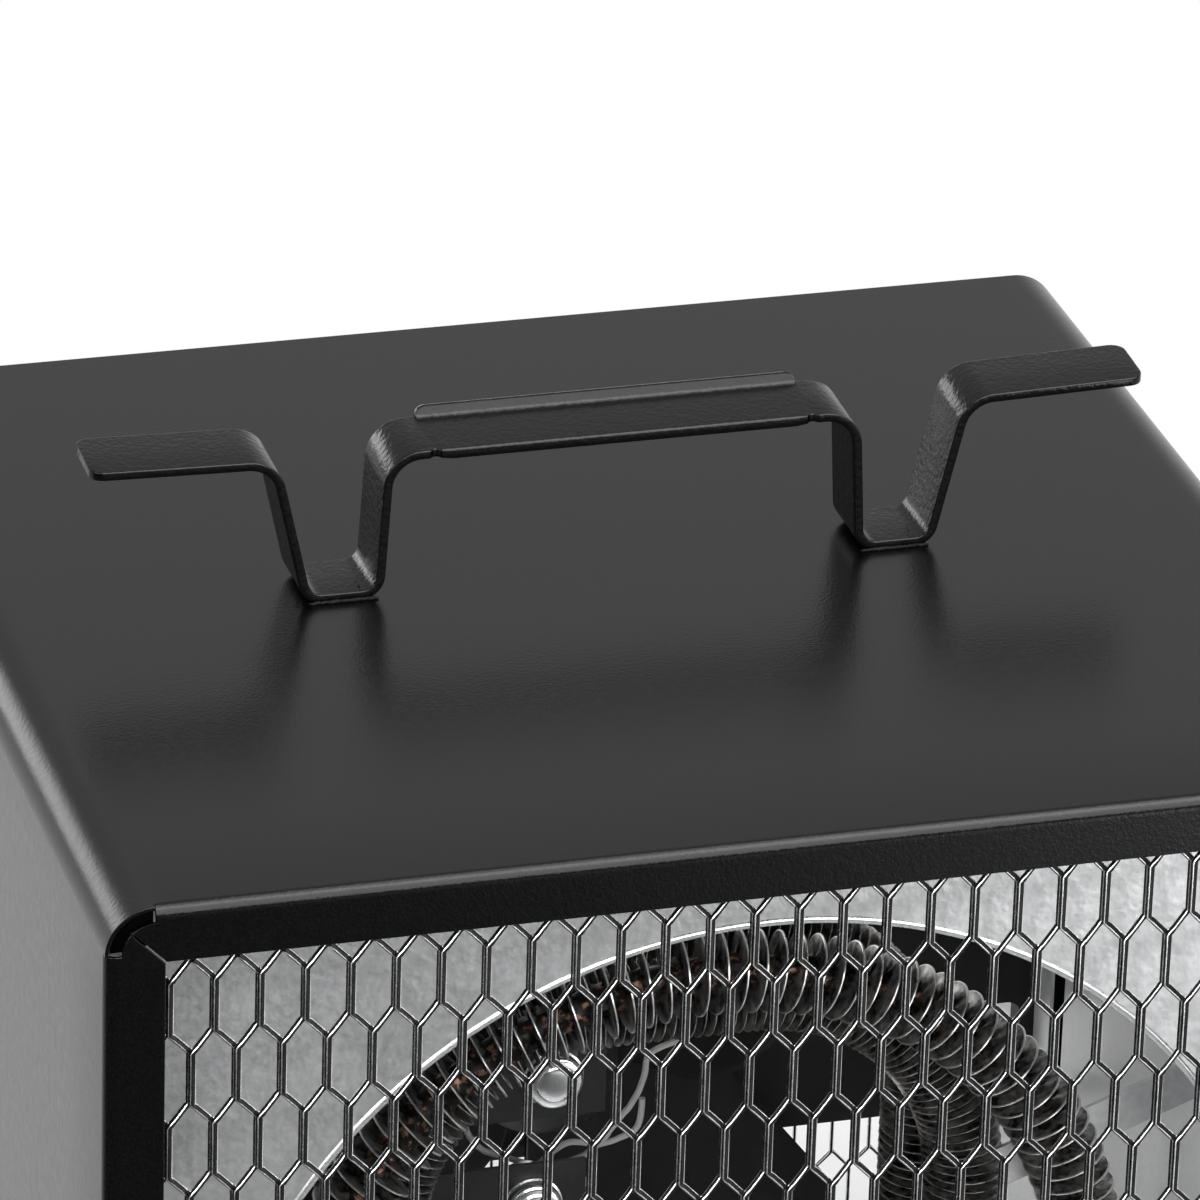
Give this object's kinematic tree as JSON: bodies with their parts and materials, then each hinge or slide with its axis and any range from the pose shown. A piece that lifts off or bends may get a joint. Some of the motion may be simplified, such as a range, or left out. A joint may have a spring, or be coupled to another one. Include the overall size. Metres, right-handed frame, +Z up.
{
  "type": "portable garage heater",
  "caption": "Box-shaped electric fan heater with a bent-strap carry handle, an expanded-metal front over a round baffle opening with finned heating loops, and a fan behind them.",
  "frame": {"origin": "centre of the overall footprint on the floor, under the feet; z = 0 is the floor", "axes": "+Z up, front with the grille and the knobs towards -Y, +X to the right as seen from the front"},
  "size_m": [0.337, 0.331, 0.4142],
  "materials": {
    "casing_black": "fine-texture semi-gloss powder coat",
    "grille_black": "gloss black enamel on expanded metal",
    "galvanised": "galvanised sheet, softly spangled",
    "element_steel": "heat-darkened steel",
    "cutout_metal": "bright drawn cap",
    "lead_sleeve": "braided sleeving",
    "fan_metal": "mill finish, dulled",
    "motor_black": "semi-gloss",
    "shaft_steel": "turned",
    "screw_zinc": "bright zinc",
    "control_plastic": "moulded",
    "knob_plastic": "fine matt",
    "lamp_lens": "translucent amber-red",
    "gland_plastic": "moulded",
    "foot_rubber": "matt"
  },
  "bodies": {
    "heater": {"casing_wrap": "casing_black", "carry_handle": "casing_black", "front_grille": "grille_black", "rear_grille": "grille_black", "back_panel": "casing_black", "guard_screws": "screw_zinc", "control_fascia": "casing_black", "base_pan": "casing_black", "side_screws": "screw_zinc", "foot_screws": "screw_zinc", "baffle_plate": "galvanised", "chamber_floor": "galvanised", "chamber_liner_left": "galvanised", "chamber_liner_right": "galvanised", "chamber_liner_top": "galvanised", "element_ring": "element_steel", "element_loop_front": "element_steel", "element_loop_rear": "element_steel", "element_terminals": "screw_zinc", "element_support_left": "galvanised", "element_support_right": "galvanised", "cutout_bracket": "galvanised", "cutout_disc_upper": "cutout_metal", "cutout_disc_lower": "cutout_metal", "cutout_leads": "lead_sleeve", "motor_body": "motor_black", "motor_plate": "motor_black", "motor_screws": "screw_zinc", "thermostat_body": "control_plastic", "selector_body": "control_plastic", "control_nuts": "screw_zinc", "pilot_lamp": "lamp_lens", "cord_gland": "gland_plastic", "gland_locknut": "gland_plastic", "terminal_block": "control_plastic", "rubber_foot_1": "foot_rubber", "rubber_foot_2": "foot_rubber", "rubber_foot_3": "foot_rubber", "rubber_foot_4": "foot_rubber"},
    "fan": {"fan_rotor": "fan_metal", "motor_shaft": "shaft_steel"},
    "thermostat": {"thermostat_knob": "knob_plastic", "thermostat_spindle": "shaft_steel"},
    "selector": {"selector_knob": "knob_plastic", "selector_spindle": "shaft_steel"}
  },
  "joints": [
    {"name": "fan_spin", "type": "hinge", "parent": "heater", "child": "fan", "pos_m": [0, 0.0625, 0.201], "axis": [0, 1, 0], "continuous": true},
    {"name": "thermostat_turn", "type": "hinge", "parent": "heater", "child": "thermostat", "pos_m": [0.092, -0.158, 0.03], "axis": [0, 1, 0], "range_deg": [-135, 135]},
    {"name": "selector_turn", "type": "hinge", "parent": "heater", "child": "selector", "pos_m": [0.038, -0.158, 0.03], "axis": [0, 1, 0], "range_deg": [0, 135]}
  ]
}
